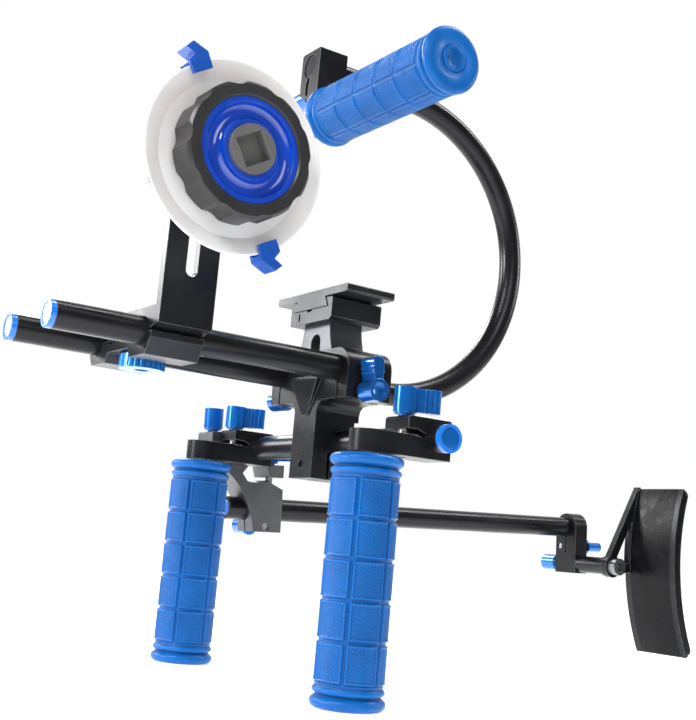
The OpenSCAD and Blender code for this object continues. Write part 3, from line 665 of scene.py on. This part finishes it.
@dataclass
class Rods:
    """The two front rods and the crossbar, with their rimmed end caps."""

    maker: Maker
    finishes: Finishes
    face_r: float = 5.85 * MM
    face_depth: float = 0.65 * MM

    def build(self) -> None:
        """Dresses the rods and sets a dished face into each cap."""
        f, dress = self.finishes, self.maker.dress
        for node in ("front_rod_near", "front_rod_far", "tail_rod"):
            dress(node, f.tube_y)
        dress("crossbar", f.tube_x)
        for node in ("front_caps_near", "front_caps_far", "bar_caps"):
            dress(node, f.cap_rim)
        # the front caps' faces take the pale finish, a painted reflection; the crossbar's cap faces below
        # stay blue
        for side, body in (("near", "rod_near"), ("far", "rod_far")):
            lo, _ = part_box(f"front_caps_{side}")
            spot = middle(f"front_caps_{side}")
            self.face(f"cap_face_{side}", Vector((spot.x, lo[1], spot.z)), Axis.Y, 1.0, body, f.cap_face)
        lo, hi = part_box("bar_caps")
        spot = middle("bar_caps")
        self.face("cap_face_bar_near", Vector((hi[0], spot.y, spot.z)), Axis.X, -1.0, "head", f.blue)
        self.face("cap_face_bar_far", Vector((lo[0], spot.y, spot.z)), Axis.X, 1.0, "head", f.blue)

    def face(self, name: str, mouth: Vector, axis: Axis, inward: float, body: str,
             material: bpy.types.Material) -> None:
        """Sets a slightly domed disc into a cap's recess.

        Args:
            name: The disc's name.
            mouth: Middle of the cap's outer edge.
            axis: The rod's axis.
            inward: 1 or -1, the way into the cap along that axis.
            body: The body that the cap is on.
            material: The disc's finish.
        """
        depth, r = self.face_depth, self.face_r
        lip, dish = 0.0003, 0.00022
        profile: Profile = [(lip, depth), (r, depth), (r, depth - 0.00015), (r - lip, depth - lip)]
        profile += [(r * k, depth - lip - dish * (1 - k * k)) for k in (0.85, 0.7, 0.5, 0.3, 0.1, 0.01)]
        mesh = self.maker.turned(profile, along(axis, mouth, inward))
        self.maker.place(name, mesh, material, body, "cap_blue")


@dataclass
class Grip:
    """A moulded rubber grip: end flanges, beads, and rows of diamond-knurled pads."""

    maker: Maker
    material: bpy.types.Material
    radius: float = 19.0 * MM
    bore: float = 7.05 * MM
    rows: int = 5
    columns: int = 6
    first_column: float = 15.0
    end: float = 12.6 * MM
    groove: float = 1.7 * MM
    knurl: float = 2.0 * MM
    knurl_h: float = 0.6 * MM
    step: float = 0.4 * MM

    def end_profile(self) -> Profile:
        """Returns radius and depth pairs from the grip's end to its first row of pads."""
        points = ((7.05, 0.15), (15.9, 0.15), (16.6, 0.35), (17.7, 0.9), (18.55, 1.8), (18.9, 2.6),
                  (18.95, 3.3), (18.75, 4.4), (18.1, 5.3), (17.2, 6.0), (16.5, 6.5), (16.4, 6.9),
                  (16.8, 7.3), (17.6, 7.7), (18.1, 8.3), (18.2, 8.9), (18.05, 9.6), (17.7, 10.2),
                  (17.15, 10.7), (17.05, 11.3), (17.05, 11.9), (17.4, 12.2))
        scale = self.radius / (19.0 * MM)
        return [(r * scale * MM, d * MM) for r, d in points]

    def surface(self, angle: float, depth: float, length: float) -> float:
        """Returns the radius of the padded stretch.

        Args:
            angle: Angle round the grip, in radians.
            depth: Distance from the grip's top end.
            length: The grip's whole length.

        Returns:
            Radius in metres, with grooves and knurl.
        """
        body = self.radius - 1.1 * MM
        pitch = (length - 2 * self.end) / self.rows
        down = (depth - self.end) % pitch
        edge_z = min(down, pitch - down)
        if depth - self.end < pitch / 2 or length - self.end - depth < pitch / 2:
            edge_z = max(edge_z, min(depth - self.end, length - self.end - depth) + 0.5 * MM)
        sector = 2 * math.pi / self.columns
        turn = (angle - math.radians(self.first_column)) % sector
        edge_a = min(turn, sector - turn) * body
        raised = ease(min(edge_z, edge_a), self.groove / 2 - 0.25 * MM, self.groove / 2 + 0.45 * MM)
        count = round(2 * math.pi * body / self.knurl)
        u = angle * count / (2 * math.pi)
        v = depth / self.knurl
        diamond = min(abs(((u + v) % 1.0) * 2 - 1), abs(((u - v) % 1.0) * 2 - 1))
        inner = ease(min(edge_z, edge_a), self.groove / 2 + 0.9 * MM, self.groove / 2 + 1.3 * MM)
        return body - 1.15 * MM * (1 - raised) - self.knurl_h * (1 - diamond) * inner

    def build(self, name: str, node: str, body: str, put: Placement, length: float) -> None:
        """Builds the grip in place of its plain CAD node.

        Args:
            name: The piece's name.
            node: The CAD node that it stands for.
            body: The body that it rides on.
            put: Places a point given across, across and down from the grip's top end.
            length: The grip's length.
        """
        segments = round(2 * math.pi * self.radius / self.step)
        angles = [2 * math.pi * i / segments for i in range(segments)]
        ends = self.end_profile()
        stretch = length - 2 * self.end
        count = round(stretch / self.step)
        bore_inset = 1.0 * MM

        def circle(r: float, depth: float) -> list[Vector]:
            """Returns a round row of points at that radius and depth."""
            return [put(r * math.cos(a), r * math.sin(a), depth) for a in angles]

        rows = [circle(r, d) for r, d in ends]
        for i in range(count + 1):
            depth = self.end + stretch * i / count
            row = []
            for a in angles:
                r = self.surface(a, depth, length)
                row.append(put(r * math.cos(a), r * math.sin(a), depth))
            rows.append(row)
        rows += [circle(r, length - d) for r, d in reversed(ends)]
        rows += [circle(self.bore, depth) for depth in (length - bore_inset, bore_inset)]
        rows.append(rows[0])
        mesh = self.maker.skin(rows, True, False)
        bmesh.ops.remove_doubles(mesh, verts=mesh.verts, dist=1e-7)
        self.maker.place(name, mesh, self.material, body, "grip_rubber", (node,))


@dataclass
class Handles:
    """The two side handles on the crossbar and the handle on the C-arm."""

    maker: Maker
    finishes: Finishes
    plug_r: float = 7.3 * MM

    def build(self) -> None:
        """Builds and dresses the three handles."""
        f, dress = self.finishes, self.maker.dress
        for side in ("near", "far"):
            dress(f"arm_{side}", f.black)
            dress(f"arm_bolt_{side}", f.steel)
            dress(f"handle_core_{side}", f.steel)
            self.maker.knob(f"arm_knob_{side}", f.blue, f.steel)
            lo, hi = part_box(f"grip_{side}")
            centre = middle(f"grip_{side}")
            top = Vector((centre.x, centre.y, hi[2]))
            Grip(self.maker, f.grip).build(f"knurled_grip_{side}", f"grip_{side}", f"handle_{side}",
                                           along(Axis.Z, top, -1.0), hi[2] - lo[2])
        dress("top_arm", f.black)
        dress("top_arm_bolt", f.steel)
        dress("top_handle_core", f.steel)
        self.maker.knob("top_arm_knob", f.blue, f.steel)
        lo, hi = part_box("top_grip")
        centre = middle("top_grip")
        start = Vector((lo[0], centre.y, centre.z))
        Grip(self.maker, f.grip).build("knurled_grip_top", "top_grip", "top_handle",
                                       along(Axis.X, start), hi[0] - lo[0])
        self.plug("grip_plug_top", Vector((hi[0], centre.y, centre.z)), Axis.X, -1.0, "top_handle")

    def plug(self, name: str, mouth: Vector, axis: Axis, inward: float, body: str) -> None:
        """Covers the end of a grip's core with a thin plug.

        Args:
            name: The plug's name.
            mouth: Middle of the grip's outer end.
            axis: The grip's axis.
            inward: 1 or -1, the way into the grip.
            body: The body that the grip is on.
        """
        r = self.plug_r
        profile: Profile = [(0.0002, 0.2 * MM), (r, 0.2 * MM), (r, -0.1 * MM), (r - 0.3 * MM, -0.3 * MM),
                            (r - 1.8 * MM, -0.34 * MM), (r - 2.2 * MM, -0.05 * MM), (0.0002, -0.05 * MM)]
        mesh = self.maker.turned(profile, along(axis, mouth, inward))
        self.maker.place(name, mesh, self.finishes.grip, body, "grip_rubber")


@dataclass
class Tail:
    """Offset clamp, tail rod, pad clamp, pivot and the shoulder pad."""

    maker: Maker
    finishes: Finishes
    pitch: float = math.radians(2.4)
    crossbar: Vector = field(default_factory=lambda: Vector((0.0, 3.5 * MM, -90.0 * MM)))
    curve_y: float = 503.7 * MM
    curve_z: float = -62.4 * MM
    inner_r: float = 165.9 * MM
    outer_r: float = 175.4 * MM
    corner: float = 5.0 * MM
    rod_x: float = -112.0 * MM
    rod_front: float = -6.0 * MM
    rod_z: float = -38.5 * MM
    start: float = 160.7
    stop: float = 203.8

    def build(self) -> None:
        """Dresses the tail and moulds the pad."""
        f, dress = self.finishes, self.maker.dress
        dress("offset_clamp", f.light)
        for node in ("offset_knob_front", "offset_knob_rear", "tail_rod_knob", "pad_clamp_knob",
                     "pivot_knob"):
            self.maker.knob(node, f.blue, f.steel)
        for node in ("pad_clamp", "pivot_shaft", "pad_bracket"):
            dress(node, f.black)
        dress("pivot_bolt", f.bolt)
        self.pad()
        self.rod_plug()

    def pad_point(self, x: float, radius: float, angle: float) -> Vector:
        """Returns the row point at a place on the pad's curve.

        Args:
            x: Place across the pad.
            radius: Distance from the curve's centre.
            angle: Angle about the centre, in degrees.

        Returns:
            The point.
        """
        a = math.radians(angle)
        y = self.curve_y + radius * math.cos(a)
        z = self.curve_z + radius * math.sin(a)
        turn = Matrix.Rotation(self.pitch, 3, "X")
        return turn @ Vector((x, y, z)) + self.crossbar

    def ring(self, gap: float, half_w: float, half_l: float) -> list[tuple[float, float]]:
        """Returns a round-cornered loop at a distance inside the pad's border.

        Args:
            gap: Distance from the border.
            half_w: Half of the pad's width.
            half_l: Half of the pad's length along its curve.

        Returns:
            Across and along pairs, the same number for every gap.
        """
        wide, long, r = half_w - gap, half_l - gap, max(0.0, self.corner - gap)
        loop: list[tuple[float, float]] = []
        for quarter, (sx, sl) in enumerate(((1, 1), (-1, 1), (-1, -1), (1, -1))):
            middle_x, middle_l = sx * (wide - r), sl * (long - r)
            for i in range(9):
                turn = math.radians(90.0 * quarter + 90.0 * i / 8)
                loop.append((middle_x + r * math.cos(turn), middle_l + r * math.sin(turn)))
            steps = 70 if quarter in (1, 3) else 24
            if quarter in (1, 3):
                start, end = sl * (long - r), -sl * (long - r)
                loop += [(sx * wide, start + (end - start) * i / steps) for i in range(1, steps)]
            else:
                start, end = sx * (wide - r), -sx * (wide - r)
                loop += [(start + (end - start) * i / steps, sl * long) for i in range(1, steps)]
        return loop

    def pad(self) -> None:
        """Moulds the pad over its plate: crowned, with round corners, rolled edges and a border line."""
        lo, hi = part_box("shoulder_pad")
        half_w, mid_x = (hi[0] - lo[0]) / 2 - 0.0002, (lo[0] + hi[0]) / 2
        mid_a, mid_r = (self.start + self.stop) / 2, (self.inner_r + self.outer_r) / 2
        half_t = (self.outer_r - self.inner_r) / 2
        half_l = math.radians((self.stop - self.start) / 2 - 0.1) * mid_r
        gaps = [g * MM for g in (0.0, 0.06, 0.2, 0.45, 0.8, 1.25, 1.8, 2.5, 3.3, 4.2, 4.7, 5.0, 5.3,
                                 5.8, 7.0, 9.0, 12.0, 15.0, 18.0, 21.0, 23.5)] + [half_w]
        line_at, line_width = 5.0 * MM, 0.45 * MM

        def height(gap: float, px: float, roll: float) -> float:
            """Returns the height above the pad's middle surface at a distance from the border."""
            t = min(1.0, gap / roll)
            dip = math.exp(-((gap - line_at) / line_width) ** 2)
            line = line_width * dip if roll > 3 * MM else 0.0
            crown = 0.5 * MM * (1 - (px / half_w) ** 2)
            return (half_t - 0.6 * MM) * math.sqrt(max(0.0, 1 - (1 - t) ** 2)) + crown * t - line

        mesh = bmesh.new()
        for side, roll in ((-1, 4.0 * MM), (1, 1.8 * MM)):
            rows = []
            for gap in gaps:
                spots = [self.pad_point(mid_x + px, mid_r + side * height(gap, px, roll),
                                        mid_a + math.degrees(pl / mid_r))
                         for px, pl in self.ring(gap, half_w, half_l)]
                rows.append([mesh.verts.new(spot) for spot in spots])
            count = len(rows[0])
            for outer, inner in zip(rows, rows[1:]):
                for i in range(count):
                    k = (i + 1) % count
                    mesh.faces.new((outer[i], outer[k], inner[k], inner[i]))
        bmesh.ops.remove_doubles(mesh, verts=mesh.verts, dist=2e-6)
        bmesh.ops.dissolve_degenerate(mesh, edges=mesh.edges, dist=1e-7)
        piece = self.maker.place("moulded_shoulder_pad", mesh, self.finishes.pad, "pad", "pad_rubber",
                                 ("shoulder_pad",))

    def rod_plug(self) -> None:
        """Closes the tail rod's front end with a blue disc."""
        turn = Matrix.Rotation(self.pitch, 3, "X")

        def put(u: float, v: float, w: float) -> Vector:
            """Returns the row point, with w running back along the rod from its front end."""
            return turn @ Vector((self.rod_x + u, self.rod_front + w, self.rod_z + v)) + self.crossbar

        r = 4.98 * MM
        profile: Profile = [(0.0002, 2.0 * MM), (r, 2.0 * MM), (r, 0.5 * MM), (r - 0.4 * MM, 0.2 * MM),
                            (r - 1.2 * MM, 0.25 * MM), (0.0002, 0.4 * MM)]
        self.maker.place("tail_rod_plug", self.maker.turned(profile, put), self.finishes.cap_rim,
                         "tail_rod", "cap_blue")


@dataclass
class FollowFocus:
    """Rod bracket with its slotted upright, gearbox, wheel, marking disc and drive gear."""

    maker: Maker
    finishes: Finishes

    def build(self) -> None:
        """Dresses the follow focus."""
        f, dress = self.finishes, self.maker.dress
        for node in ("ff_bracket", "ff_gearbox", "ff_cover"):
            dress(node, f.black)
        dress("ff_lower_jaw", f.grey)
        dress("ff_thumb_knob", f.azure)
        dress("ff_lock_screw", f.steel)
        for node in ("ff_wheel_shaft", "ff_drive_shaft"):
            dress(node, f.steel)
        for node in ("ff_drive_gear", "ff_hand_wheel"):
            dress(node, f.wheel)
        dress("ff_marking_disc", f.white)
        dress("ff_inlay_ring", f.ring)
        dress("ff_socket_boss", f.boss)
        dress("ff_stop_upper", f.lever)
        dress("ff_stop_lower", f.lever)


@dataclass
class CArm:
    """The bent tube that carries the top handle."""

    maker: Maker
    finishes: Finishes

    def build(self) -> None:
        """Dresses the tube."""
        self.maker.dress("c_arm_tube", self.finishes.tube_bent)


@dataclass
class Studio:
    """Pale floor with a painted glow, soft lights and the camera."""

    eye: Vector = field(default_factory=lambda: Vector((0.58591, -0.36742, -0.15235)))
    look: Vector = field(default_factory=lambda: Vector((-0.82750, 0.53742, 0.16257)))
    rise: Vector = field(default_factory=lambda: Vector((0.08850, -0.16109, 0.98296)))
    lens: float = 58.72
    sensor: float = 36.0
    floor_half: float = 6.0
    room: float = 0.14
    wall_starts: float = 0.45
    wall_full: float = 0.90

    def camera(self) -> None:
        """Places the camera."""
        data = bpy.data.cameras.new("studio_camera")
        data.lens = self.lens
        data.sensor_width = self.sensor
        data.clip_start = 0.01
        camera = bpy.data.objects.new("studio_camera", data)
        back = -self.look.normalized()
        right = self.rise.cross(back).normalized()
        up = back.cross(right)
        turn = Matrix((right, up, back)).transposed().to_4x4()
        camera.matrix_world = Matrix.Translation(self.eye) @ turn
        bpy.context.scene.collection.objects.link(camera)
        bpy.context.scene.camera = camera

    def sweep(self, recipe: Recipe) -> bpy.types.NodeSocket:
        """Returns the floor's glow: bright in a wedge out from the camera's place, dim beside it.

        The wedge is fixed to the floor by the eye and look values, so from other sides its edge shows.
        """
        level = Vector((self.look.x, self.look.y, 0.0)).normalized()
        spots = []
        for way in (level, Vector((-level.y, level.x, 0.0))):
            offset = recipe.add("ShaderNodeVectorMath")
            offset.operation = "SUBTRACT"
            offset.inputs[1].default_value = (self.eye.x, self.eye.y, 0.0)
            recipe.join(recipe.coords, offset.inputs[0])
            part = recipe.add("ShaderNodeVectorMath")
            part.operation = "DOT_PRODUCT"
            part.inputs[1].default_value = way
            recipe.join(offset.outputs["Vector"], part.inputs[0])
            spots.append(part.outputs["Value"])
        ahead, aside = spots
        nearest, furthest = 0.3, 12.0
        wedge_full, wedge_ends, beside = 0.40, 0.75, 0.05
        front_glow, front_ends, back_starts = 0.66, 0.9, 2.6
        deep = recipe.spread(ahead, nearest, furthest, nearest, furthest)
        ratio = recipe.add("ShaderNodeMath")
        ratio.operation = "DIVIDE"
        recipe.join(aside, ratio.inputs[0])
        recipe.join(deep, ratio.inputs[1])
        size = recipe.add("ShaderNodeMath")
        size.operation = "ABSOLUTE"
        recipe.join(ratio.outputs[0], size.inputs[0])
        return recipe.times(recipe.spread(size.outputs[0], 1.0, beside, wedge_full, wedge_ends),
                            recipe.spread(ahead, front_glow, 1.0, front_ends, back_starts))

    def floor(self, height: float) -> None:
        """Lays a pale floor at that height, glowing as painted light in a wedge ahead of the camera."""
        mesh = bmesh.new()
        bmesh.ops.create_grid(mesh, x_segments=2, y_segments=2, size=self.floor_half)
        data = bpy.data.meshes.new("studio_floor")
        mesh.to_mesh(data)
        mesh.free()
        recipe = Recipe("pale_floor")
        pale, paler = (0.90, 0.90, 0.90), (0.93, 0.93, 0.93)
        tone = recipe.blend(recipe.spread(recipe.noise(0.8), 0.0, 1.0), pale, paler)
        recipe.join(tone, recipe.shader.inputs["Base Color"])
        recipe.constant(Roughness=0.9, Specular_IOR_Level=0.1)
        # painted light: the floor glows by emission, bright in the wedge ahead of the camera
        recipe.join(self.sweep(recipe), recipe.shader.inputs["Emission Strength"])
        recipe.shader.inputs["Emission Color"].default_value = (1.0, 1.0, 1.0, 1.0)
        data.materials.append(recipe.material)
        floor = bpy.data.objects.new("studio_floor", data)
        floor.location.z = height
        bpy.context.scene.collection.objects.link(floor)
        floor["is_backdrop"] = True

    def light(self, name: str, spot: Vector, target: Vector, size: float, power: float,
              long: float = 0.0) -> None:
        """Hangs a soft light.

        Args:
            name: The light's name.
            spot: Where it hangs.
            target: The point that it faces.
            size: Its width, in metres.
            power: Watts.
            long: Its length, or 0 for a square.
        """
        data = bpy.data.lights.new(name, "AREA")
        data.shape, data.size, data.size_y, data.energy = "RECTANGLE", size, long or size, power
        lamp = bpy.data.objects.new(name, data)
        lamp.location = spot
        lamp.visible_camera = False
        lamp.rotation_mode = "QUATERNION"
        lamp.rotation_quaternion = (target - spot).to_track_quat("-Z", "Y")
        bpy.context.scene.collection.objects.link(lamp)

    def surround(self) -> None:
        """Makes the room's own light: a white wall behind the rig and a dim room in front of it."""
        world = bpy.data.worlds.new("studio_world")
        world.use_nodes = True
        tree = world.node_tree
        ground = tree.nodes["Background"]
        facing = tree.nodes.new("ShaderNodeVectorMath")
        facing.operation = "DOT_PRODUCT"
        facing.inputs[1].default_value = self.look.normalized()
        tree.links.new(tree.nodes.new("ShaderNodeTexCoord").outputs["Generated"], facing.inputs[0])
        glow = tree.nodes.new("ShaderNodeMapRange")
        glow.interpolation_type = "SMOOTHSTEP"
        for key, number in (("From Min", self.wall_starts), ("From Max", self.wall_full),
                            ("To Min", self.room), ("To Max", 1.0)):
            glow.inputs[key].default_value = number
        tree.links.new(facing.outputs["Value"], glow.inputs["Value"])
        ground.inputs["Color"].default_value = (1.0, 1.0, 1.0, 1.0)
        tree.links.new(glow.outputs["Result"], ground.inputs["Strength"])
        bpy.context.scene.world = world

    def build(self) -> None:
        """Sets up the surroundings and the lights."""
        self.camera()
        lo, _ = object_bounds()
        self.floor(lo.z)
        self.surround()
        aim = Vector((0.0, 0.05, -0.05))
        self.light("key_light", Vector((0.5, -1.5, 1.1)), aim, 0.5, 25.0)
        self.light("front_fill", Vector((1.5, -0.3, 0.9)), aim, 0.8, 7.0)
        self.light("left_strip", Vector((-0.5, -1.6, 0.3)), aim, 0.35, 14.0)
        self.light("face_softbox", Vector((-1.30, -0.82, 0.42)), aim, 0.42, 10.0)
        self.light("bar_softbox", Vector((-1.3, 0.15, 0.85)), aim, 0.4, 8.0)
        self.light("rod_softbox", Vector((0.15, 0.85, 1.4)), aim, 0.28, 16.0, long=1.2)
        self.light("right_rim", Vector((0.5, 1.6, 0.45)), aim, 0.35, 5.0)
        bpy.context.scene.view_settings.view_transform = "Standard"


def main() -> None:
    """Loads the frame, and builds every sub-assembly."""
    logging.basicConfig(level=logging.INFO, format="%(name)s: %(message)s")
    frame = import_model()
    studio = Studio()
    studio.build()
    maker, finishes = Maker(frame), Finishes()
    for part in (CameraHead(maker, finishes), Rods(maker, finishes), Handles(maker, finishes),
                 Tail(maker, finishes), FollowFocus(maker, finishes), CArm(maker, finishes)):
        part.build()
        LOG.info("finished %s", type(part).__name__)


if __name__ == "__main__":
    main()
